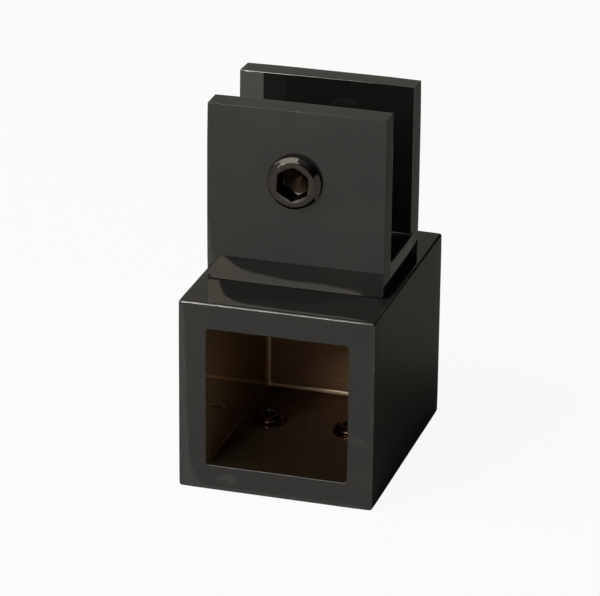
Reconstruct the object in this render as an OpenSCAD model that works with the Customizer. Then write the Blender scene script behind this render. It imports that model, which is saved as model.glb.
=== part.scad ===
// Glass panel clamp for a square bar: a blind square sleeve that slides over the
// bar's end and is locked by two set screws in its floor, and on its roof a
// U-shaped channel whose front plate carries a set screw that presses a pad
// against the glass.
// Frame: +Z up, +Y from the socket's mouth to its blind end, +X to the right.
// The origin is the middle of the sleeve's underside.

/* [Bar and socket] */
// Side of the square bar that the sleeve takes
bar_w = 25; // [20:0.5:32]
// Play of the bar in the socket, both sides together
bar_play = 0.4; // [0.2:0.1:1]
// Depth of the socket from its mouth
socket_depth = 36.5; // [30:0.5:60]
// Fillet along the socket's four corners
corner_fillet = 0.5; // [0.2:0.1:1.5]
// Fillet round the socket's blind end
end_fillet = 0.8; // [0.2:0.1:1.5]
// Chamfer round the socket's mouth
mouth_chamfer = 0.3; // [0.1:0.1:0.6]

/* [Sleeve] */
// Thickness of the four walls round the socket
sleeve_wall = 4.8; // [4:0.1:7]
// Thickness of the metal behind the socket's blind end
end_wall = 8.5; // [4:0.5:12]

/* [Glass channel] */
// Gap between the two plates
slot_gap = 14; // [13:0.5:18]
// Thickness of each plate
plate_t = 4.5; // [4:0.1:6]
// Thickness of the web under the slot
web_t = 5; // [4.5:0.1:8]
// Width of the channel, along the glass
channel_w = 31.8; // [24:0.2:34]
// Height of the channel above the sleeve
channel_h = 32.2; // [30:0.2:45]
// Fillet in the slot's two bottom corners
slot_fillet = 0.6; // [0.3:0.1:1]

/* [Clamp screw] */
// Thread diameter of the clamp screw
clamp_d = 10; // [8:1:12]
// Overall length of the clamp screw
clamp_len = 8.5; // [8:0.5:12]
// Height of the screw's axis above the foot of the channel
clamp_height = 19.6; // [17:0.2:22]
// How far the key end stands out of the front plate
clamp_proud = 2; // [1:0.1:3]
// Size of the hexagon key, across its flats
clamp_key = 5.5; // [4:0.5:5.5]
// Depth of the hexagon socket
clamp_key_depth = 4; // [3:0.1:4.5]
// Angle by which that hexagon is turned about the screw's axis
clamp_key_turn = 33; // [0:1:59]
// Rounding of the rim at the key end
clamp_rim = 1.3; // [0.4:0.1:1.4]
// Chamfer at the end that carries the pad
clamp_tip = 0.6; // [0.3:0.1:1]

/* [Pressure pad] */
// Diameter of the pad's button
pad_d = 8.4; // [6:0.2:10]
// Thickness of the pad's button
pad_t = 1; // [0.8:0.1:1.5]
// Diameter of the stem that turns in the screw's end
pad_stem_d = 3.6; // [3:0.2:4]
// Length of that stem
pad_stem_len = 2.4; // [2:0.1:2.8]

/* [Bar screws] */
// Thread diameter of the two screws that lock the bar
bar_screw_d = 6; // [5:1:8]
// Overall length of a bar screw
bar_screw_len = 5; // [4.5:0.1:6]
// How far a bar screw's point stands above the socket's floor
bar_screw_proud = 1.5; // [0.5:0.1:2]
// Distance between the two bar screws
bar_screw_pitch = 15; // [11:0.5:16]
// Distance from the socket's mouth to the bar screws
bar_screw_from_mouth = 21; // [10:0.5:26]
// Size of the hexagon key, across its flats
bar_key = 3; // [2.5:0.5:4]
// Depth of the hexagon socket
bar_key_depth = 2.6; // [2:0.1:3]
// Chamfer round the cup point
bar_screw_tip = 0.8; // [0.4:0.1:1]
// Diameter of the cup in the point
bar_cup_d = 2.6; // [2:0.1:3]

/* [Joining screw] */
// Thread diameter of the countersunk screw that holds the channel to the sleeve
joining_d = 6; // [5:1:8]
// Diameter of its head
joining_head_d = 11.6; // [10:0.2:12]
// Size of the hexagon key, across its flats
joining_key = 4; // [3:0.5:5]
// Depth of the hexagon socket
joining_key_depth = 2.4; // [2:0.1:3]

/* [Edges and fits] */
// Rounding of the sleeve's outer edges
sleeve_edge_r = 0.4; // [0.2:0.1:1]
// Rounding of the channel's outer edges
channel_edge_r = 0.1; // [0.1:0.1:0.6]
// Chamfer of the slot's edges and of the screw holes
slot_chamfer = 0.3; // [0.1:0.1:0.5]
// Width of the lead-in chamfer beyond the corners of a hexagon socket
key_lead = 0.1; // [0.05:0.05:0.2]
// Radial play of each screw in its hole, and of the pad's stem
screw_play = 0.05; // [0.02:0.01:0.08]

/* [Hidden] */
$fn = 96;

// Length by which a cut runs past the face that it opens
cut = 1;
// Thickness of the slabs that a chamfer is drawn between
slab = 0.01;

socket_w = bar_w + bar_play;
sleeve_w = socket_w + 2 * sleeve_wall;
sleeve_h = sleeve_w;
sleeve_d = socket_depth + end_wall;
mouth_y = -sleeve_d / 2;
socket_mid_z = sleeve_h / 2;

channel_t = slot_gap + 2 * plate_t;
front_face_y = -channel_t / 2;
slot_floor_z = sleeve_h + web_t;
channel_top_z = sleeve_h + channel_h;

clamp_z = sleeve_h + clamp_height;
clamp_start_y = front_face_y - clamp_proud;
clamp_end_y = clamp_start_y + clamp_len;

bar_screw_x = bar_screw_pitch / 2;
bar_screw_y = mouth_y + bar_screw_from_mouth;
bar_screw_top_z = sleeve_wall + bar_screw_proud;

joining_len = web_t + sleeve_wall;
joining_head_h = (joining_head_d - joining_d) / 2;

// A rectangle about the origin with its four corners rounded
module rounded_outline(w, h, r) {
    square([w - 2 * r, h], center = true);
    square([w, h - 2 * r], center = true);
    for (x = [-1, 1], y = [-1, 1]) {
        translate([x * (w / 2 - r), y * (h / 2 - r)])
            circle(r);
    }
}

// A block standing on the XY plane: its upright edges are rounded by the first
// radius, and the edges round its two ends by the second
module eased_block(w, d, h, side_r, end_r) {
    intersection() {
        linear_extrude(h)
            rounded_outline(w, d, side_r);
        translate([0, d / 2, h / 2])
            rotate([90, 0, 0])
                linear_extrude(d)
                    rounded_outline(w, h, end_r);
        translate([-w / 2, 0, h / 2])
            rotate([90, 0, 90])
                linear_extrude(w)
                    rounded_outline(d, h, end_r);
    }
}

// A thin rounded rectangle about the origin, one side of a flared mouth
module outline_slab(w, h, r) {
    linear_extrude(slab)
        rounded_outline(w, h, r, $fn = 32);
}

// The square socket, from in front of the mouth to the blind end
module socket_space() {
    translate([0, mouth_y - cut, socket_mid_z])
        rotate([-90, 0, 0])
            eased_block(socket_w, socket_w, socket_depth + cut, corner_fillet, end_fillet);
    translate([0, mouth_y, socket_mid_z])
        rotate([-90, 0, 0])
            hull() {
                translate([0, 0, -slab])
                    outline_slab(socket_w + 2 * mouth_chamfer, socket_w + 2 * mouth_chamfer,
                        corner_fillet + mouth_chamfer);
                translate([0, 0, mouth_chamfer])
                    outline_slab(socket_w, socket_w, corner_fillet);
            }
}

// A round hole of a screw along +Z from the origin, chamfered where it starts
module screw_hole(d, len) {
    translate([0, 0, -cut])
        cylinder(d = d, h = len + 2 * cut);
    translate([0, 0, -cut])
        cylinder(d1 = d + 2 * (slot_chamfer + cut), d2 = d, h = slot_chamfer + cut);
}

// The sleeve: one block with the blind socket and three tapped holes
module bar_sleeve() {
    color([0.2, 0.2, 0.19])
        difference() {
            eased_block(sleeve_w, sleeve_d, sleeve_h, sleeve_edge_r, sleeve_edge_r);
            socket_space();
            for (side = [-1, 1]) {
                translate([side * bar_screw_x, bar_screw_y, 0])
                    screw_hole(bar_screw_d, sleeve_wall);
            }
            translate([0, 0, sleeve_h - sleeve_wall - cut])
                cylinder(d = joining_d, h = sleeve_wall + 2 * cut);
        }
}

// The slot's section across the glass, from its floor to above the plates
module slot_outline() {
    half = slot_gap / 2;
    translate([-half, slot_fillet])
        square([slot_gap, channel_h - web_t - slot_fillet + cut]);
    translate([slot_fillet - half, 0])
        square([slot_gap - 2 * slot_fillet, 2 * slot_fillet]);
    for (side = [-1, 1]) {
        translate([side * (half - slot_fillet), slot_fillet])
            circle(slot_fillet);
    }
    translate([0, channel_h - web_t])
        polygon([
            [-half, -slot_chamfer],
            [half, -slot_chamfer],
            [half + slot_chamfer + cut, cut],
            [-half - slot_chamfer - cut, cut]
        ]);
}

// The slot that takes the glass, open at the top and at both ends
module slot_space() {
    translate([-channel_w / 2 - cut, 0, slot_floor_z])
        rotate([90, 0, 90])
            linear_extrude(channel_w + 2 * cut)
                slot_outline();
    for (side = [0, 1]) {
        mirror([side, 0, 0])
            slot_end_chamfer();
    }
}

// The chamfer down both plates and along the slot's floor at the +X end
module slot_end_chamfer() {
    height = channel_h - web_t + cut;
    flare = slot_chamfer + cut;
    end_x = channel_w / 2;
    translate([0, 0, slot_floor_z])
        linear_extrude(height)
            polygon([
                [end_x - slot_chamfer, -slot_gap / 2],
                [end_x - slot_chamfer, slot_gap / 2],
                [end_x + cut, slot_gap / 2 + flare],
                [end_x + cut, -slot_gap / 2 - flare]
            ]);
    translate([0, slot_gap / 2, slot_floor_z])
        rotate([90, 0, 0])
            linear_extrude(slot_gap)
                polygon([
                    [end_x - slot_chamfer, 0],
                    [end_x + cut, 0],
                    [end_x + cut, -flare]
                ]);
}

// The channel: one U-shaped block, its front plate tapped for the clamp screw
module glass_channel() {
    color([0.22, 0.22, 0.21])
        difference() {
            translate([0, 0, sleeve_h])
                eased_block(channel_w, channel_t, channel_h, channel_edge_r, channel_edge_r);
            slot_space();
            translate([0, front_face_y, clamp_z])
                rotate([-90, 0, 0])
                    screw_hole(clamp_d, plate_t);
            translate([0, 0, sleeve_h - cut])
                cylinder(d = joining_d, h = web_t + 2 * cut);
            translate([0, 0, slot_floor_z - joining_head_h])
                cylinder(d1 = joining_d, d2 = joining_head_d, h = joining_head_h);
            translate([0, 0, slot_floor_z - slab])
                cylinder(d = joining_head_d, h = cut);
        }
}

// A hexagon socket that opens at the origin and runs along +Z, with a lead-in cone
module key_socket(af, depth) {
    across_corners = af / cos(30);
    lead_d = across_corners + 2 * key_lead;
    translate([0, 0, -cut])
        cylinder(d = across_corners, h = depth + cut, $fn = 6);
    translate([0, 0, -slab])
        cylinder(d1 = lead_d + 2 * slab, d2 = af, h = slab + (lead_d - af) / 2);
    translate([0, 0, depth - slab])
        cylinder(d1 = af, d2 = 0, h = af / 4);
}

// A set screw along +Z: rounded rim and key socket at the origin, chamfered point
module set_screw(d, len, rim, tip, key, key_depth, key_turn = 0) {
    r = d / 2 - screw_play;
    difference() {
        rotate_extrude() {
            translate([0, rim])
                square([r, len - rim - tip]);
            square([r - rim, len - tip]);
            translate([r - rim, rim])
                intersection() {
                    circle(rim);
                    translate([0, -rim])
                        square(rim);
                }
            polygon([
                [0, len - tip],
                [r, len - tip],
                [r - tip, len],
                [0, len]
            ]);
        }
        rotate(key_turn)
            key_socket(key, key_depth);
    }
}

// The clamp screw, its far end bored for the stem of the pad
module clamp_screw() {
    bore = pad_stem_len + 2 * screw_play;
    color([0.24, 0.23, 0.21])
        translate([0, clamp_start_y, clamp_z])
            rotate([-90, 0, 0])
                difference() {
                    set_screw(clamp_d, clamp_len, clamp_rim, clamp_tip, clamp_key, clamp_key_depth,
                        clamp_key_turn);
                    translate([0, 0, clamp_len - bore])
                        cylinder(d = pad_stem_d, h = bore + cut);
                }
}

// The pad: a button that bears on the glass, on a stem in the clamp screw's end
module pressure_pad() {
    rim = pad_t / 3;
    color([0.12, 0.12, 0.12])
        translate([0, clamp_end_y, clamp_z])
            rotate([-90, 0, 0])
                rotate_extrude() {
                    translate([0, screw_play])
                        square([pad_d / 2, pad_t - screw_play - rim]);
                    square([pad_d / 2 - rim, pad_t - rim]);
                    square([pad_d / 2 - rim, pad_t]);
                    translate([pad_d / 2 - rim, pad_t - rim])
                        circle(rim);
                    translate([0, -pad_stem_len])
                        square([pad_stem_d / 2 - screw_play, pad_stem_len + pad_t / 2]);
                }
}

// A bar screw: a set screw that is driven from below, with a cup in its point
module bar_screw(side) {
    color([0.24, 0.23, 0.21])
        translate([side * bar_screw_x, bar_screw_y, bar_screw_top_z - bar_screw_len])
            difference() {
                set_screw(bar_screw_d, bar_screw_len, bar_screw_tip / 2, bar_screw_tip, bar_key,
                    bar_key_depth);
                translate([0, 0, bar_screw_len - bar_cup_d / 2])
                    cylinder(d1 = 0, d2 = bar_cup_d + 2 * slab, h = bar_cup_d / 2 + slab);
            }
}

module bar_screw_left() {
    bar_screw(-1);
}

module bar_screw_right() {
    bar_screw(1);
}

// The countersunk screw through the slot's floor into the sleeve's roof
module joining_screw() {
    r = joining_d / 2 - screw_play;
    head_r = joining_head_d / 2 - screw_play;
    color([0.24, 0.23, 0.21])
        translate([0, 0, slot_floor_z])
            mirror([0, 0, 1])
                difference() {
                    rotate_extrude()
                        polygon([
                            [0, 0],
                            [head_r, 0],
                            [r, joining_head_h],
                            [r, joining_len - screw_play],
                            [0, joining_len - screw_play]
                        ]);
                    key_socket(joining_key, joining_key_depth);
                }
}

bar_sleeve();
glass_channel();
joining_screw();
clamp_screw();
pressure_pad();
bar_screw_left();
bar_screw_right();
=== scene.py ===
import math

import bmesh
import bpy
import numpy as np
from mathutils import Matrix, Vector


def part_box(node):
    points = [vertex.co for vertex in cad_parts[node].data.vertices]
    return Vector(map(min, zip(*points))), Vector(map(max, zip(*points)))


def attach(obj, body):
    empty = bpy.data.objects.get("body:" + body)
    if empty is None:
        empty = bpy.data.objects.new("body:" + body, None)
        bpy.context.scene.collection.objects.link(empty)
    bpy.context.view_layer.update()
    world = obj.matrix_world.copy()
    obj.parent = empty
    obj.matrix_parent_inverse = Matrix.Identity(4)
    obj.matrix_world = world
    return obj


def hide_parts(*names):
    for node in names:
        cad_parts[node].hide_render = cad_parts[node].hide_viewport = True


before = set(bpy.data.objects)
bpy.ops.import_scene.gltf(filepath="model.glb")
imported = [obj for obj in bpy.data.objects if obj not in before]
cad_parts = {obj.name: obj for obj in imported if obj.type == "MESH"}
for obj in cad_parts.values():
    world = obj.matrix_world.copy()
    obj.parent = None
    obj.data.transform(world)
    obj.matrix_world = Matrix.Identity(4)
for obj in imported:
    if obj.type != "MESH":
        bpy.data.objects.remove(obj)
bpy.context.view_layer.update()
MM = 0.001


# The sleeve. A single brass block, milled blind from one side for the bar and
# drilled from below for its two screws, then buffed outside and plated almost
# black. Buffing lets every face fall away a few hundredths towards its edges.
sleeve_lo, sleeve_hi = (np.array(corner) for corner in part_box("bar_sleeve"))
sleeve_buff = (0.50 * MM, 4.1 * MM, 0.031 * MM)
socket_side = 25.4 * MM
socket_depth = 36.5 * MM
socket_corner = 0.5 * MM
socket_end = 0.8 * MM
mouth_flare = 0.15 * MM
socket_mid_x = 0.25 * MM
socket_mid_z = (sleeve_lo[2] + sleeve_hi[2]) / 2
socket_mouth_y = float(sleeve_lo[1])
socket_floor_y = socket_mouth_y + socket_depth
sleeve_wall = float(sleeve_hi[2] - sleeve_lo[2] - socket_side) / 2
bar_bore = 3.05 * MM
bar_bore_chamfer = 0.5 * MM
# Cutting tools reach this far past the faces that they go through.
beyond = 1.0 * MM
# Turned and threaded shapes have this many points round their axis.
ring_points = 96


def piece(name, verts, faces):
    """A mesh object with its normals turned outwards and its double points joined."""
    mesh = bpy.data.meshes.new(name)
    mesh.from_pydata([tuple(v) for v in verts], [], [tuple(f) for f in faces])
    work = bmesh.new()
    work.from_mesh(mesh)
    bmesh.ops.remove_doubles(work, verts=work.verts, dist=1e-7)
    bmesh.ops.dissolve_degenerate(work, edges=work.edges, dist=1e-8)
    bmesh.ops.holes_fill(work, edges=[e for e in work.edges if e.is_boundary], sides=0)
    bmesh.ops.recalc_face_normals(work, faces=work.faces)
    work.to_mesh(mesh)
    work.free()
    made = bpy.data.objects.new(name, mesh)
    bpy.context.scene.collection.objects.link(made)
    return made


def buffed_block(name, lo, hi, buff):
    """A block with rounded edges. buff is their radius, how far in from them the
    faces start to fall away, and by how much they do."""
    edge_round, buff_reach, buff_fall = buff
    mid, half = (lo + hi) / 2, (hi - lo) / 2
    # The lines of the grid on every face lie close together only where it bends.
    lines = []
    for size in half:
        arc = size - edge_round + edge_round * np.tan(np.linspace(0, math.pi / 4, 6))
        run = size - edge_round - buff_reach * np.linspace(1, 0, 11)[:-1]
        last_flat = run[0] - 0.4 * MM
        side = np.concatenate([[last_flat], run, arc])
        lines.append(np.concatenate([-side[::-1], side]))
    # Six gridded faces, first flat and with sharp edges.
    verts, faces = [], []
    for axis in range(3):
        u_axis, v_axis = (axis + 1) % 3, (axis + 2) % 3
        u_line, v_line = lines[u_axis], lines[v_axis]
        for sign in (-1, 1):
            first = len(verts)
            for u in u_line:
                for v in v_line:
                    point = np.zeros(3)
                    point[axis], point[u_axis], point[v_axis] = sign * half[axis], u, v
                    verts.append(point)
            count = len(v_line)
            for i in range(len(u_line) - 1):
                for j in range(count - 1):
                    a = first + i * count + j
                    faces.append((a, a + 1, a + count + 1, a + count))
    verts = np.array(verts)
    # Rounded about a smaller block inside, then drawn in where the buffing took more.
    core = np.clip(verts, edge_round - half, half - edge_round)
    out = verts - core
    out /= np.linalg.norm(out, axis=1)[:, None]
    near = np.clip((np.abs(verts) - (half - edge_round - buff_reach)) / buff_reach, 0, 1)
    drop = buff_fall * near**2
    inward = near * (drop.sum(axis=1)[:, None] - drop)
    return piece(name, mid + core + edge_round * out - np.sign(verts) * inward, faces)


def lofted(name, rings):
    """A closed body through rings that all have the same number of points."""
    count = len(rings[0])
    faces = [tuple(range(count)), tuple(range((len(rings) - 1) * count, len(rings) * count))]
    for k in range(len(rings) - 1):
        for i in range(count):
            a, b = k * count + i, k * count + (i + 1) % count
            faces.append((a, b, b + count, a + count))
    return piece(name, np.concatenate(rings), faces)


def square_ring(side, corner, depth):
    """A rounded square across the socket, at that depth from the mouth."""
    points = []
    for quarter in range(4):
        turn = quarter * math.pi / 2
        for angle in np.linspace(0, math.pi / 2, 7):
            reach = side / 2 - corner
            x = reach + corner * math.cos(angle)
            z = reach + corner * math.sin(angle)
            c, s = math.cos(turn), math.sin(turn)
            across, upward = c * x - s * z, s * x + c * z
            points.append((socket_mid_x + across, sleeve_lo[1] + depth, socket_mid_z + upward))
    return np.array(points)


def round_ring(radius, x, y, z):
    """A circle about an upright axis."""
    angles = np.arange(ring_points) * 2 * math.pi / ring_points
    return np.array([(x + radius * math.cos(a), y + radius * math.sin(a), z) for a in angles])


def quarter_round(radius, steps):
    """A rounded edge from one face to the next, as the distances from both: the first
    grows from 0 to the radius, and the second falls from the radius to 0."""
    return [
        (radius * (1 - math.cos(a)), radius * (1 - math.sin(a)))
        for a in np.linspace(0, math.pi / 2, steps)
    ]


def cut(body, *tools, keep_inside=False):
    """Takes the tools away from the body, one after another, or keeps what they share."""
    for tool in tools:
        change = body.modifiers.new("cut", "BOOLEAN")
        change.operation = "INTERSECT" if keep_inside else "DIFFERENCE"
        change.solver = "EXACT"
        change.object = tool
        bpy.context.view_layer.update()
        shaped = body.evaluated_get(bpy.context.evaluated_depsgraph_get())
        mesh = bpy.data.meshes.new_from_object(shaped)
        body.modifiers.clear()
        body.data = mesh
        bpy.data.objects.remove(tool)


def smooth(body, crease=35):
    """Shades the body smooth, apart from edges sharper than the crease angle; its
    large faces stay flat and the small ones between them carry the bend."""
    body.data.shade_smooth()
    body.data.set_sharp_from_angle(angle=math.radians(crease))
    even = body.modifiers.new("even", "WEIGHTED_NORMAL")
    even.mode, even.weight, even.keep_sharp = "FACE_AREA", 100, True
    bpy.context.view_layer.update()
    shaped = body.evaluated_get(bpy.context.evaluated_depsgraph_get())
    mesh = bpy.data.meshes.new_from_object(shaped)
    body.modifiers.clear()
    body.data = mesh


flare = [(-beyond, mouth_flare + 0.3 * MM), (0.0, mouth_flare)]
flare += quarter_round(mouth_flare, 7)[1:]
socket_rings = [
    square_ring(socket_side + 2 * grow, socket_corner + grow, depth) for depth, grow in flare
]
socket_rings += [
    square_ring(socket_side - 2 * inward, socket_corner, socket_depth - short)
    for inward, short in quarter_round(socket_end, 9)
]
bar_screw_boxes = [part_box("bar_screw_left"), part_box("bar_screw_right")]
bar_screw_places = [(lo + hi) / 2 for lo, hi in bar_screw_boxes]
bores = [
    lofted("bore", [
        round_ring(bar_bore + bar_bore_chamfer + beyond, at.x, at.y, -beyond),
        round_ring(bar_bore + bar_bore_chamfer, at.x, at.y, 0.0),
        round_ring(bar_bore, at.x, at.y, bar_bore_chamfer),
        round_ring(bar_bore, at.x, at.y, sleeve_wall + beyond),
    ])
    for at in bar_screw_places
]
sleeve = buffed_block("sleeve_body", sleeve_lo, sleeve_hi, sleeve_buff)
cut(sleeve, lofted("socket", socket_rings), *bores)
smooth(sleeve)


class Shade:
    """An output of a node. Sums, differences, products, quotients, powers, absolute
    values and the larger of two add their Math nodes."""

    def __init__(self, finish, plug):
        self.finish, self.plug = finish, plug

    def maths(self, operation, *values):
        sockets = dict(enumerate(values))
        return self.finish.node("ShaderNodeMath", {"operation": operation}, sockets)

    def __add__(self, other):
        return self.maths("ADD", self, other)

    __radd__ = __add__

    def __sub__(self, other):
        return self.maths("SUBTRACT", self, other)

    def __rsub__(self, other):
        return self.maths("SUBTRACT", other, self)

    def __mul__(self, other):
        return self.maths("MULTIPLY", self, other)

    __rmul__ = __mul__

    def __truediv__(self, other):
        return self.maths("DIVIDE", self, other)

    def __rtruediv__(self, other):
        return self.maths("DIVIDE", other, self)

    def __pow__(self, other):
        return self.maths("POWER", self, other)

    def __abs__(self):
        return self.maths("ABSOLUTE", self)

    def larger(self, other):
        return self.maths("MAXIMUM", self, other)


class Finish:
    """A node tree, and the one way in which its nodes are made."""

    def __init__(self, name, owner=None):
        self.owner = owner or bpy.data.materials.new(name)
        self.owner.use_nodes = True
        self.tree = self.owner.node_tree
        self.tree.nodes.clear()

    def node(self, kind, settings=None, sockets=None, output=0):
        """A new node with its settings and inputs, as the one of its outputs asked for."""
        made = self.tree.nodes.new(kind)
        for key, value in (settings or {}).items():
            if key == "stops":
                ramp = made.color_ramp.elements
                while len(ramp) > 1:
                    ramp.remove(ramp[-1])
                for k, (where, tone) in enumerate(value):
                    stop = ramp[0] if k == 0 else ramp.new(where)
                    stop.position, stop.color = where, (*tone, 1)
            else:
                setattr(made, key, value)
        for key, value in (sockets or {}).items():
            if isinstance(value, Shade):
                self.tree.links.new(value.plug, made.inputs[key])
            else:
                made.inputs[key].default_value = value
        return Shade(self, made.outputs[output] if made.outputs else None)

    def blend(self, first, second, share):
        """A colour between two colours."""
        ends = [(*c, 1) if isinstance(c, tuple) else c for c in (first, second)]
        return self.node(
            "ShaderNodeMix", {"data_type": "RGBA"}, {0: share, 6: ends[0], 7: ends[1]}, output=2
        )

    def ramp(self, value, low, high):
        """0 below low, 1 above high, and a smooth rise between them."""
        return self.node(
            "ShaderNodeMapRange",
            {"interpolation_type": "SMOOTHSTEP"},
            {"Value": value, "From Min": low, "From Max": high},
        )

    def grain(self, place, scale, detail=3.0, rough=0.5, warp=0.0):
        """Noise from 0 to 1 over the piece; the scale is in features per metre."""
        return self.node(
            "ShaderNodeTexNoise",
            {},
            {"Vector": place, "Scale": scale, "Detail": detail, "Roughness": rough, "Distortion": warp},
        )

    def surface(self, shader):
        """Puts the shader on the surface and gives the material."""
        self.node("ShaderNodeOutputMaterial", {}, {"Surface": shader})
        return self.owner


def paint(body, *materials):
    """Gives the body these materials and no others."""
    body.data.materials.clear()
    for material in materials:
        body.data.materials.append(material)


def dark_plating(name, lo, hi, sheen, edge_wear_highlight_tone, walls=None, smears=()):
    """Buffed near-black nickel over the outside of a piece whose box is lo to hi. The
    sheen is how much it shines at a grazing angle, and the edges are rubbed to the
    edge tone, which also paints a pale highlight along them. The plating is paler and
    brighter nearer to the middle than walls, and smears are faint patches on the
    front, as (x, z, half width, half height)."""
    coat = Finish(name)
    place = coat.node("ShaderNodeTexCoord", output="Object")
    axes = [coat.node("ShaderNodeSeparateXYZ", {}, {0: place}, output=k) for k in range(3)]
    gaps = []
    for k in range(3):
        middle, half = float(lo[k] + hi[k]) / 2, float(hi[k] - lo[k]) / 2
        gaps.append(half - abs(axes[k] - middle))
    # The two smaller distances to a face are both small only near an edge.
    from_edge = gaps[0] + gaps[1] + gaps[2] - gaps[0].larger(gaps[1]).larger(gaps[2])
    haze = coat.ramp(coat.grain(place, 70.0, 4.0, 0.55, 0.6), 0.42, 0.72)
    fine = coat.grain(place, 900.0, 3.0, 0.6)
    rub = coat.ramp(coat.grain(place, 260.0, 3.0, 0.6), 0.45, 0.7)
    inside = 0.0
    if walls is not None:
        inside = 1 - coat.ramp(abs(axes[1]), walls, walls + 0.15 * MM)
    # Worn plating along the edges, made paler still as a painted highlight line.
    edge_wear_highlight = (1 - coat.ramp(from_edge, 0.15 * MM, 0.62 * MM)) * (0.35 + 0.65 * rub)
    tone = coat.blend((0.0505, 0.0492, 0.0462), (0.0575, 0.0552, 0.0508), haze)
    tone = coat.blend(tone, edge_wear_highlight_tone, edge_wear_highlight)
    tone = coat.blend(tone, (0.088, 0.086, 0.080), inside)
    for x, z, wide, high in smears:
        far = ((axes[0] - x) / wide) ** 2 + ((axes[2] - z) / high) ** 2
        patch = (1 - coat.ramp(far, 0.0, 1.0)) * rub
        tone = coat.blend(tone, (0.085, 0.083, 0.078), patch)
    wave = coat.grain(place, 110.0, 1.0, 0.4)
    bump = coat.node(
        "ShaderNodeBump", {}, {"Strength": 0.4, "Distance": 0.01 * MM, "Height": wave}
    )
    skin = coat.node(
        "ShaderNodeBsdfPrincipled",
        {},
        {
            "Base Color": tone,
            "Metallic": 0.72 + 0.2 * inside,
            "Roughness": 0.012 + 0.010 * haze + 0.004 * fine,
            "Specular IOR Level": 0.0,
            "Specular Tint": (sheen, 0.99 * sheen, 0.94 * sheen, 1),
            "Normal": bump,
        },
    )
    return coat.surface(skin)


def bare_bore(name):
    """The unpolished inside: the plating lies thin and brown over milled brass. It is
    scuffed near the mouth and wiped bright on the side walls. Painted shade darkens it
    near the mouth and on the floor, it is painted brighter deeper in, and a painted
    highlight runs pale along the fillets in which walls, floor and end meet."""
    coat = Finish(name)
    place = coat.node("ShaderNodeTexCoord", output="Object")
    axes = [coat.node("ShaderNodeSeparateXYZ", {}, {0: place}, output=k) for k in range(3)]
    patch = coat.grain(place, 190.0, 4.0, 0.6, 1.0)
    speck = coat.grain(place, 1300.0, 2.0, 0.6)
    tone = coat.node(
        "ShaderNodeValToRGB",
        {"stops": [
            (0.30, (0.060, 0.045, 0.022)), (0.42, (0.105, 0.068, 0.036)),
            (0.52, (0.150, 0.074, 0.060)), (0.60, (0.100, 0.072, 0.034)),
            (0.72, (0.200, 0.128, 0.056)),
        ]},
        {0: patch},
    )
    # Painted shade darkens the bore near the mouth, where the light falls in, and painted light
    # brightens it deeper in; painted shade also keeps the floor darker than the walls.
    depth = coat.ramp(axes[1], socket_mouth_y + 2.0 * MM, socket_mouth_y + 36.0 * MM)
    low = 1 - coat.ramp(axes[2], sleeve_wall + 0.2 * MM, sleeve_wall + 1.2 * MM)
    mouth_shade = coat.blend((0.085, 0.060, 0.036), (0.011, 0.008, 0.005), low)
    tone = coat.blend(mouth_shade, tone, depth)
    # Paler walls, and a floor darkened again by painted shade.
    tone = coat.blend(tone, coat.blend((0.24, 0.155, 0.082), (0.035, 0.022, 0.012), low), 0.4)
    # Pale scuffs on the floor just inside the mouth.
    spots = coat.grain(place, 420.0, 4.0, 0.7, 1.2)
    front = 1 - coat.ramp(axes[1], socket_mouth_y + 3.0 * MM, socket_mouth_y + 15.0 * MM)
    marks = coat.ramp(spots, 0.66, 0.74) * front * low
    tone = coat.blend(tone, (0.24, 0.20, 0.15), marks * 0.8)
    # The bar wipes the side walls, and a painted highlight runs pale along the fillets where two walls
    # meet.
    side, wall_x = abs(axes[0] - socket_mid_x), socket_side / 2
    near_side = coat.ramp(side, wall_x - 0.75 * MM, wall_x - 0.3 * MM)
    wiped = coat.ramp(side, wall_x - 0.2 * MM, wall_x - 0.02 * MM)
    tone = coat.blend(tone, (0.50, 0.34, 0.19), 0.6 * wiped)
    near_end = coat.ramp(axes[1], socket_floor_y - 0.8 * MM, socket_floor_y - 0.3 * MM)
    near_low = 1 - coat.ramp(axes[2], sleeve_wall + 0.3 * MM, sleeve_wall + 0.75 * MM)
    # A painted highlight along the fillets of the end, the floor and the side walls.
    fillet_highlight = near_end * near_side + 0.7 * near_end * near_low + 0.25 * near_side * near_low
    tone = coat.blend(tone, (0.72, 0.56, 0.38), coat.ramp(fillet_highlight, 0.1, 1.0))
    height = speck + 2.0 * coat.ramp(coat.grain(place, 340.0, 3.0, 0.6), 0.35, 0.7)
    bump = coat.node(
        "ShaderNodeBump", {}, {"Strength": 0.10, "Distance": 0.02 * MM, "Height": height}
    )
    skin = coat.node(
        "ShaderNodeBsdfPrincipled",
        {},
        {
            "Base Color": tone,
            "Metallic": 0.32 + 0.4 * wiped - 0.17 * near_end,
            "Roughness": (0.10 + 0.12 * patch) * (1 - 0.75 * wiped) + 0.25 * marks,
            "Specular IOR Level": 0.0,
            "Specular Tint": (0.7, 0.6, 0.5, 1),
            "Normal": bump,
        },
    )
    return coat.surface(skin)


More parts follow.
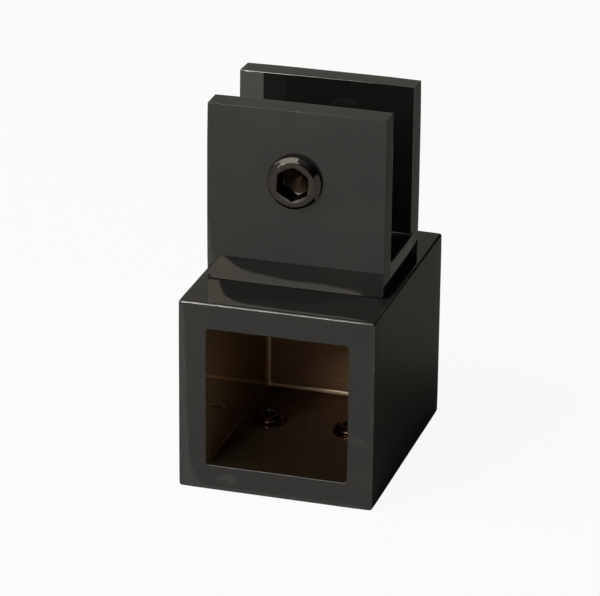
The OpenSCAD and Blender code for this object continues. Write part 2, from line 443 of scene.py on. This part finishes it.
# The sleeve's pale edge tone is partly wear and partly a painted highlight along its edges.
plating = dark_plating(
    "sleeve_plating", sleeve_lo, sleeve_hi, 0.49, (0.15, 0.142, 0.128),
    smears=[(-8.5 * MM, 2.4 * MM, 2.4 * MM, 1.3 * MM), (15.2 * MM, 13.0 * MM, 2.2 * MM, 1.6 * MM)],
)
paint(sleeve, plating, bare_bore("socket_bore"))
half_open = socket_side / 2 + 0.02 * MM
for face in sleeve.data.polygons:
    x, y, z = face.center
    inside = abs(x - socket_mid_x) < half_open and abs(z - socket_mid_z) < half_open
    bored = inside and sleeve_lo[1] + mouth_flare * 0.98 < y < socket_floor_y + 0.1 * MM
    holed = sleeve_lo[2] + 0.5 * MM < z < sleeve_lo[2] + sleeve_wall and any(
        math.hypot(x - at.x, y - at.y) < bar_bore + 0.15 * MM for at in bar_screw_places
    )
    face.material_index = 1 if bored or holed else 0
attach(sleeve, "fitting")
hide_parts("bar_sleeve")


# The glass channel. A second brass block with a square slot milled through it,
# its outside buffed and plated like the sleeve. It stands on the sleeve's roof
# and is held from inside the slot; the front plate is tapped for the clamp screw.
channel_lo, channel_hi = (np.array(corner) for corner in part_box("glass_channel"))
channel_buff = (0.05 * MM, 10.0 * MM, 0.0746 * MM)
slot_gap = 14.0 * MM
slot_floor = float(channel_lo[2]) + 5.0 * MM
slot_corner = 0.6 * MM
slot_lip = 0.3 * MM
front_lip = 0.08 * MM
clamp_lo, clamp_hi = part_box("clamp_screw")
clamp_mid = (clamp_lo + clamp_hi) / 2
clamp_bore = 9.6 * MM
clamp_bore_long = 8.0 * MM
clamp_bore_chamfer = 1.0 * MM
clamp_pitch = 1.5 * MM
clamp_phase = math.radians(45)


def slot_ring(x, grow):
    """The slot's section at x, opened out all round by grow. The rear plate's inner
    edge is buffed rounder towards its left end."""
    half, floor, top = slot_gap / 2 + grow, slot_floor - grow, float(channel_hi[2])
    rear_lip = float(np.interp(x / MM, (-16, -10, -2, 6), (0.34, 0.22, 0.09, 0.05))) * MM
    sides = []
    for lip in (rear_lip, front_lip):
        side = [(half - short, floor + rise) for rise, short in quarter_round(slot_corner + grow, 8)]
        side += [(half + out, top - low) for out, low in quarter_round(lip, 7)]
        side.append((half + lip + beyond, top + beyond))
        sides.append(side)
    rear, front = sides[0], [(-y, z) for y, z in reversed(sides[1])]
    return np.array([(x, y, z) for y, z in rear + front])


def threaded_rod(name, place, diameter, pitch, length, chamfer, turn=None, phase=0.0):
    """A rod along +Z from the place with a real helical thread and chamfered ends.
    turn is the matrix that lays it along another axis, and phase is the angle about
    the rod at which a crest meets its start."""
    depth = 0.6134 * pitch
    # One turn of the thread, as (share of the pitch, share of the depth).
    profile = [
        (0.0, 0.0), (0.015, 0.0), (0.11, 0.0), (0.135, 0.05), (0.23, 0.34), (0.33, 0.66),
        (0.425, 0.95), (0.45, 0.985), (0.51, 1.0), (0.5625, 1.0), (0.615, 1.0), (0.675, 0.985),
        (0.70, 0.95), (0.79, 0.66), (0.89, 0.34), (0.985, 0.05),
    ]
    rows = []
    for k in range(-2, math.ceil(length / pitch) + 2):
        rows += [((k + along) * pitch, diameter / 2 - depth * level) for along, level in profile]

    def end_radius(gap):
        share = min(1.0, max(0.0, gap / chamfer))
        return diameter / 2 - chamfer * (1 - share)

    verts, index = [], {}
    for i in range(ring_points):
        angle = 2 * math.pi * i / ring_points
        for j, (along, radius) in enumerate(rows):
            z = min(length, max(0.0, along + pitch * i / ring_points))
            r = min(radius, end_radius(z), end_radius(length - z))
            index[i, j] = len(verts)
            verts.append((r * math.cos(angle + phase), r * math.sin(angle + phase), z))
    # The last strip of faces joins the first one a turn further along.
    faces = []
    for i in range(ring_points):
        last = i == ring_points - 1
        n, shift = (0, len(profile)) if last else (i + 1, 0)
        for j in range(len(rows) - 1 - shift):
            low, high = j + shift, j + 1 + shift
            faces.append((index[i, j], index[n, low], index[n, high], index[i, j + 1]))
    points = np.array(verts)
    if turn is not None:
        points = points @ np.array(turn).T
    used = sorted({v for f in faces for v in f})
    renumbered = {v: k for k, v in enumerate(used)}
    faces = [tuple(renumbered[v] for v in f) for f in faces]
    return piece(name, points[used] + np.array(place), faces)


slot_end = float(channel_hi[0])
lip_steps = [(slot_end - short, grow) for grow, short in quarter_round(slot_lip, 7)]
lip_steps.append((slot_end + beyond, slot_lip + 0.5 * MM))
slot_rings = [slot_ring(-x, grow) for x, grow in reversed(lip_steps)]
slot_rings += [slot_ring(x * MM, 0.0) for x in range(-14, 15, 2)]
slot_rings += [slot_ring(x, grow) for x, grow in lip_steps]
towards_back = [[1, 0, 0], [0, 0, 1], [0, -1, 0]]
front_hole = threaded_rod(
    "tap", (clamp_mid.x, clamp_lo.y, clamp_mid.z), clamp_bore, clamp_pitch, clamp_bore_long,
    clamp_bore_chamfer, towards_back, clamp_phase,
)


def front_ring(radius, y):
    """A circle about the clamp screw's axis."""
    angles = np.arange(ring_points) * 2 * math.pi / ring_points
    return np.array(
        [(clamp_mid.x + radius * math.cos(a), y, clamp_mid.z + radius * math.sin(a)) for a in angles]
    )


front_y = float(channel_lo[1])
front_mouth = lofted("mouth", [
    front_ring(clamp_bore / 2 + 1.2 * MM, front_y - beyond),
    front_ring(clamp_bore / 2 + 0.03 * MM, front_y - 0.001 * MM),
    front_ring(clamp_bore / 2 - 0.01 * MM, front_y + 0.06 * MM),
    front_ring(0.5 * MM, front_y + 0.10 * MM),
])
joining_head = 11.6 * MM
joining_thread = 6.0 * MM
head_high = (joining_head - joining_thread) / 2
sink = lofted("sink", [
    round_ring(joining_head / 2, 0, 0, slot_floor + beyond),
    round_ring(joining_head / 2, 0, 0, slot_floor - 0.05 * MM),
    round_ring(joining_thread / 2, 0, 0, slot_floor - head_high),
    round_ring(joining_thread / 2, 0, 0, float(channel_lo[2]) - beyond),
])
channel = buffed_block("channel_body", channel_lo, channel_hi, channel_buff)
cut(channel, lofted("slot", slot_rings), front_hole, front_mouth, sink)
smooth(channel)
paint(channel, dark_plating(
    "channel_plating", channel_lo, channel_hi, 0.53, (0.062, 0.060, 0.055),
    walls=slot_gap / 2 + 0.1 * MM,
))
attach(channel, "fitting")
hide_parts("glass_channel")


# The joining screw. A countersunk steel screw with a hexagon socket, sunk flush
# in the slot's floor, that pulls the channel down on the sleeve.
join_lo, join_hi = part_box("joining_screw")
play = 0.05 * MM


def hex_ring(across, centre, height, axis="Z", turned=0.0):
    """A hexagon of that width across its flats, at a height along the axis."""
    radius = across / 2 / math.cos(math.pi / 6)
    points = []
    for k in range(6):
        a = turned + k * math.pi / 3
        u, v = radius * math.cos(a), radius * math.sin(a)
        if axis == "Z":
            points.append((centre[0] + u, centre[1] + v, height))
        else:
            points.append((centre[0] + u, height, centre[2] + v))
    return np.array(points)


head_top, shank_end = join_hi.z, join_lo.z
joining = lofted("joining_screw_body", [
    round_ring(joining_head / 2 - play - 0.12 * MM, 0, 0, head_top),
    round_ring(joining_head / 2 - play, 0, 0, head_top - 0.12 * MM),
    round_ring(joining_thread / 2 - play, 0, 0, head_top - head_high),
    round_ring(joining_thread / 2 - play, 0, 0, shank_end + 0.4 * MM),
    round_ring(joining_thread / 2 - 0.5 * MM, 0, 0, shank_end),
])
joining_key = 4.0 * MM
cut(joining, lofted("key", [
    hex_ring(joining_key + 1.4 * MM, (0, 0), head_top + 0.5 * MM),
    hex_ring(joining_key + 0.4 * MM, (0, 0), head_top + 0.0005 * MM),
    hex_ring(joining_key, (0, 0), head_top - 0.2 * MM),
    hex_ring(joining_key, (0, 0), head_top - 2.4 * MM),
    hex_ring(joining_key * 0.1, (0, 0), head_top - 3.1 * MM),
]))
smooth(joining)


def screw_steel(name, across, low=(0.052, 0.047, 0.041), high=(0.064, 0.057, 0.050)):
    """Plated steel of the screws, browner in the hollow of the key socket and painted
    almost black there as shade. across gives the axis, the directions across it and
    the hollow's radius; low and high are the tones between which the plating varies."""
    axis, directions, hollow_radius = across
    coat = Finish(name)
    place = coat.node("ShaderNodeTexCoord", output="Object")
    cloud = coat.grain(place, 500.0, 4.0, 0.6, 0.5)
    fine = coat.grain(place, 4200.0, 2.0, 0.6)
    moved = coat.node(
        "ShaderNodeVectorMath", {"operation": "SUBTRACT"}, {0: place, 1: axis}
    )
    flat = coat.node(
        "ShaderNodeVectorMath", {"operation": "MULTIPLY"}, {0: moved, 1: directions}
    )
    from_axis = coat.node(
        "ShaderNodeVectorMath", {"operation": "LENGTH"}, {0: flat}, output="Value"
    )
    key_socket_shade = 1 - coat.ramp(from_axis, hollow_radius - 0.12 * MM, hollow_radius + 0.1 * MM)
    rough = 1 - coat.ramp(from_axis, hollow_radius + 0.3 * MM, hollow_radius + 0.5 * MM)
    tone = coat.blend(low, high, cloud)
    # Painted shade: the key socket's hollow is darkened almost to black.
    tone = coat.blend(tone, (0.010, 0.006, 0.003), key_socket_shade * (0.9 + 0.1 * cloud))
    bump = coat.node("ShaderNodeBump", {}, {"Strength": 0.15, "Distance": 0.01 * MM, "Height": fine})
    skin = coat.node(
        "ShaderNodeBsdfPrincipled",
        {},
        {
            "Base Color": tone,
            "Metallic": 1.0,
            "Roughness": 0.025 + 0.02 * cloud + 0.4 * rough,
            "Specular IOR Level": 0.0,
            "Specular Tint": (0.5, 0.5, 0.5, 1),
            "Normal": bump,
        },
    )
    return coat.surface(skin)


paint(joining, screw_steel("joining_steel", ((0, 0, 0), (1, 1, 0), joining_key / 2 + 0.2 * MM)))
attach(joining, "fitting")
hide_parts("joining_screw")


# The clamp screw. A short set screw in the front plate, rounded at its key end,
# with a hexagon socket that stands on a corner, and a bore in its far end in
# which the pad's stem turns.
key_end, pad_end = clamp_lo.y, clamp_hi.y
clamp_radius = 4.70 * MM
clamp_rim = 1.12 * MM
clamp_chamfer = 1.0 * MM
clamp_rod = threaded_rod(
    "clamp_screw_body", (clamp_mid.x, key_end - clamp_pitch, clamp_mid.z), 2 * clamp_radius,
    clamp_pitch, pad_end - key_end + 2 * clamp_pitch, clamp_chamfer, towards_back, clamp_phase,
)
clamp_turned = [
    front_ring(clamp_radius - short, key_end + back) for back, short in quarter_round(clamp_rim, 15)
]
clamp_turned += [
    front_ring(clamp_radius + 0.02 * MM, pad_end - clamp_chamfer),
    front_ring(clamp_radius - clamp_chamfer, pad_end),
]
cut(clamp_rod, lofted("turned", clamp_turned), keep_inside=True)
clamp_key = 5.5 * MM
key_depth = 4.0 * MM
drill_point = 1.2 * MM
key_turn = math.radians(87)
clamp_recess = lofted("key", [
    hex_ring(clamp_key, clamp_mid, key_end - 0.5 * MM, "Y", key_turn),
    hex_ring(clamp_key, clamp_mid, key_end + key_depth, "Y", key_turn),
    hex_ring(clamp_key * 0.1, clamp_mid, key_end + key_depth + drill_point, "Y", key_turn),
])
lead_in_radius = 3.28 * MM
lead_in_depth = 0.31 * MM
lead_in = lofted("lead_in", [
    front_ring(lead_in_radius + 1.74 * MM, key_end - beyond),
    front_ring(lead_in_radius, key_end),
    front_ring(clamp_key / 2, key_end + lead_in_depth),
    front_ring(0.4 * MM, key_end + lead_in_depth + 0.01 * MM),
])
stem_hole = 1.8 * MM
stem_hole_deep = 2.5 * MM
stem_bore = lofted("bore", [
    front_ring(stem_hole, pad_end - stem_hole_deep), front_ring(stem_hole, pad_end + beyond)
])
cut(clamp_rod, clamp_recess, lead_in, stem_bore)
smooth(clamp_rod, crease=40)
paint(clamp_rod, screw_steel("clamp_steel", (tuple(clamp_mid), (1, 0, 1), clamp_key / 2 + 0.1 * MM)))
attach(clamp_rod, "clamp_screw")
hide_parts("clamp_screw")


# The pressure pad. A turned black nylon button on a stem that snaps into the
# clamp screw's end, so that the screw can turn while the pad stays on the glass.
pad_lo, pad_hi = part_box("pressure_pad")
pad_radius = (pad_hi.x - pad_lo.x) / 2
stem_end, pad_back, pad_face = pad_lo.y, pad_end + play, pad_hi.y
stem = stem_hole - play
stem_chamfer = 0.3 * MM
pad_round = 0.33 * MM
pad_rings = [
    front_ring(stem - stem_chamfer, stem_end),
    front_ring(stem, stem_end + stem_chamfer),
    front_ring(stem, pad_back - 0.12 * MM),
    front_ring(stem + 0.12 * MM, pad_back),
    front_ring(pad_radius - 0.1 * MM, pad_back),
    front_ring(pad_radius, pad_back + 0.1 * MM),
]
pad_rings += [
    front_ring(pad_radius - inward, pad_face - short) for inward, short in quarter_round(pad_round, 9)
]
# A shallow turned dimple in the middle of the face.
pad_rings += [front_ring(1.0 * MM, pad_face), front_ring(0.8 * MM, pad_face - 0.12 * MM)]
pad = lofted("pressure_pad_body", pad_rings)
smooth(pad, crease=40)
nylon = Finish("pad_nylon")
place = nylon.node("ShaderNodeTexCoord", output="Object")
mottle = nylon.grain(place, 900.0, 4.0, 0.6)
fine = nylon.grain(place, 5200.0, 2.0, 0.5)
tone = nylon.blend((0.012, 0.012, 0.013), (0.026, 0.026, 0.027), mottle)
bump = nylon.node("ShaderNodeBump", {}, {"Strength": 0.3, "Distance": 0.02 * MM, "Height": fine})
skin = nylon.node(
    "ShaderNodeBsdfPrincipled",
    {},
    {"Base Color": tone, "Roughness": 0.45 + 0.15 * mottle, "Normal": bump},
)
paint(pad, nylon.surface(skin))
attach(pad, "pad")
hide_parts("pressure_pad")


# The bar screws. Two short steel set screws side by side in the sleeve's floor,
# driven from below; their cup points bite into the bar. They are plated browner
# than the other screws.
bar_radius = 2.95 * MM
bar_pitch = 1.0 * MM
bar_key = 3.0 * MM
for side, (low, high), at in zip(("left", "right"), bar_screw_boxes, bar_screw_places):
    key_z, tip_z = low.z, high.z
    rod = threaded_rod(
        f"bar_screw_{side}_body", (at.x, at.y, key_z - bar_pitch), 2 * bar_radius, bar_pitch,
        tip_z - key_z + 2 * bar_pitch, 0.7 * MM,
    )
    bar_turned = [
        (bar_radius - 0.65 * MM, key_z), (bar_radius - 0.25 * MM, key_z + 0.12 * MM),
        (bar_radius, key_z + 0.4 * MM), (bar_radius, tip_z - 0.8 * MM), (bar_radius - 0.8 * MM, tip_z),
    ]
    envelope = lofted("turned", [round_ring(radius, at.x, at.y, z) for radius, z in bar_turned])
    cut(rod, envelope, keep_inside=True)
    recess = lofted("key", [
        hex_ring(bar_key + 1.2 * MM, at, key_z - 0.5 * MM),
        hex_ring(bar_key + 0.3 * MM, at, key_z),
        hex_ring(bar_key, at, key_z + 0.15 * MM),
        hex_ring(bar_key, at, key_z + 2.6 * MM),
        hex_ring(bar_key * 0.1, at, key_z + 3.1 * MM),
    ])
    cup = lofted("cup", [
        round_ring(2.3 * MM, at.x, at.y, tip_z + beyond),
        round_ring(1.4 * MM, at.x, at.y, tip_z),
        round_ring(0.05 * MM, at.x, at.y, tip_z - 1.3 * MM),
    ])
    cut(rod, recess, cup)
    smooth(rod, crease=40)
    paint(rod, screw_steel(
        f"bar_screw_{side}_steel", (tuple(at), (1, 1, 0), bar_key / 2 - 0.2 * MM),
        low=(0.20, 0.14, 0.11), high=(0.30, 0.21, 0.16),
    ))
    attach(rod, f"bar_screw_{side}")
    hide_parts(f"bar_screw_{side}")


# The studio. A pale table with a pale wall far behind it, in a dim grey room. A
# large soft lamp stands high on the left in front of the part, and a small
# brighter one further to the left.
def sheet_of(name, corners):
    """A flat sheet of the studio, which isn't part of the clamp."""
    made = piece(name, np.array(corners), [tuple(range(len(corners)))])
    return made


table_top = sheet_of("table_top", [(-4, -4, 0), (4, -4, 0), (4, 4, 0), (-4, 4, 0)])
paper = Finish("table_paper")
place = paper.node("ShaderNodeTexCoord", output="Object")
seen = paper.node("ShaderNodeLightPath", output="Is Camera Ray")
fibre = paper.grain(place, 1500.0, 3.0, 0.6)
matt = paper.node(
    "ShaderNodeBsdfDiffuse", {}, {"Color": paper.blend((0.62, 0.615, 0.60), (0.66, 0.655, 0.64), fibre)}
)
gloss = paper.node("ShaderNodeBsdfGlossy", {}, {"Color": (1, 1, 1, 1), "Roughness": 0.02})
matt = paper.node("ShaderNodeMixShader", {}, {0: 0.012, 1: matt, 2: gloss})
white = paper.node("ShaderNodeEmission", {}, {"Color": (1, 1, 1, 1), "Strength": 1.0})
top_shader = paper.node("ShaderNodeMixShader", {}, {0: 0.92 * seen, 1: matt, 2: white})
paint(table_top, paper.surface(top_shader))

wall = sheet_of("back_wall", [(-4, 2.2, -0.1), (0.1, 2.2, -0.1), (0.1, 2.2, 3.0), (-4, 2.2, 3.0)])
pale = Finish("wall_paint")
camera_ray = pale.node("ShaderNodeLightPath", output="Is Camera Ray")
glossy_ray = pale.node("ShaderNodeLightPath", output="Is Glossy Ray")
matt = pale.node("ShaderNodeBsdfDiffuse", {}, {"Color": (0.7, 0.7, 0.69, 1)})
white = pale.node("ShaderNodeEmission", {}, {"Color": (1, 1, 1, 1), "Strength": 1.0})
either = camera_ray.larger(glossy_ray)
wall_shader = pale.node("ShaderNodeMixShader", {}, {0: either, 1: matt, 2: white})
paint(wall, pale.surface(wall_shader))

room = bpy.data.worlds.new("room")
bpy.context.scene.world = room
air = Finish("room", room)
seen = air.node("ShaderNodeLightPath", output="Is Camera Ray")
way = air.node("ShaderNodeTexCoord", output="Generated")
brightest = (-0.62, -0.73, 0.28)
facing = air.node(
    "ShaderNodeVectorMath", {"operation": "DOT_PRODUCT"}, {0: way, 1: brightest}, output="Value"
)
tone = air.blend((0.03, 0.03, 0.031), (0.62, 0.62, 0.62), air.ramp(facing, 0.35, 0.95))
tone = air.blend(tone, (1.0, 1.0, 1.0), seen)
glow = air.node("ShaderNodeBackground", {}, {"Color": tone, "Strength": 1.0})
air.node("ShaderNodeOutputWorld", {}, {"Surface": glow})


# Both lamps and the panel stand round this point in the middle of the part.
lit_point = Vector((-0.005, -0.0115, 0.040))


def direction(azimuth, elevation):
    """The way that a lamp stands from the part; azimuth 0 is in front and rises to
    the left."""
    a, e = math.radians(azimuth), math.radians(elevation)
    return Vector((-math.sin(a) * math.cos(e), -math.cos(a) * math.cos(e), math.sin(e)))


def soft_lamp(name, way, distance, wide, high, radiance):
    """A flat soft lamp that faces the lit point."""
    lamp = bpy.data.lights.new(name, "AREA")
    lamp.shape = "RECTANGLE"
    lamp.size, lamp.size_y = wide, high
    lamp.energy = radiance * math.pi * wide * high
    holder = bpy.data.objects.new(name, lamp)
    bpy.context.scene.collection.objects.link(holder)
    turned = way.to_track_quat("Z", "Y").to_matrix().to_4x4()
    holder.matrix_world = Matrix.Translation(way * distance + lit_point) @ turned


soft_lamp("key_lamp", direction(42, 43), distance=1.3, wide=1.75, high=0.95, radiance=2.75)
soft_lamp("key_core", direction(61, 41), distance=1.25, wide=0.30, high=0.22, radiance=12.0)

# A small bright panel close by on the left, cut to a bent strip. The camera doesn't
# see it and it casts no shadow; polished metal shows it as a thin wedge of light
# along the foot of the channel.
panel_distance = 0.5
panel_edge = [
    (20.9, 11.5), (20.8, 14.0), (20.6, 17.5), (20.25, 19.4), (19.85, 20.3), (19.55, 21.1),
    (19.25, 21.75), (18.9, 22.05), (18.1, 22.3), (17.2, 22.42), (16.4, 22.64), (15.4, 22.74),
    (14.3, 22.86), (13.2, 23.0), (12.5, 23.2), (11.9, 23.6), (11.6, 24.2), (11.6, 26.6),
    (23.8, 26.6), (23.8, 11.5),
]
panel = sheet_of(
    "light_panel", [panel_distance * direction(*angles) + lit_point for angles in panel_edge]
)
panel.visible_camera = panel.visible_shadow = False
diffuser = Finish("panel_light")
glow = diffuser.node("ShaderNodeEmission", {}, {"Color": (1, 1, 1, 1), "Strength": 37.0})
paint(panel, diffuser.surface(glow))


# The camera stands where the part shows its mouth, its right side and its top,
# a little rolled, and so far off that the upright edges stay almost parallel.
camera = bpy.data.cameras.new("camera")
camera.sensor_width = 36.0
camera.lens = 210.97
camera.clip_start, camera.clip_end = 0.01, 50.0
eye = bpy.data.objects.new("camera", camera)
bpy.context.scene.collection.objects.link(eye)
azimuth, elevation, roll = (math.radians(v) for v in (16.4814, 22.0867, 0.5815))
back = Vector((
    math.sin(azimuth) * math.cos(elevation),
    -math.cos(azimuth) * math.cos(elevation),
    math.sin(elevation),
))
right = Vector((math.cos(azimuth), math.sin(azimuth), 0))
up = back.cross(right)
level = math.cos(roll) * right + math.sin(roll) * up
upward = math.cos(roll) * up - math.sin(roll) * right
turned = Matrix((level, upward, back)).transposed().to_4x4()
turned.translation = Vector((0.1600777, -0.5491481, 0.2608838))
eye.matrix_world = turned
bpy.context.scene.camera = eye
bpy.context.scene.view_settings.view_transform = "Standard"
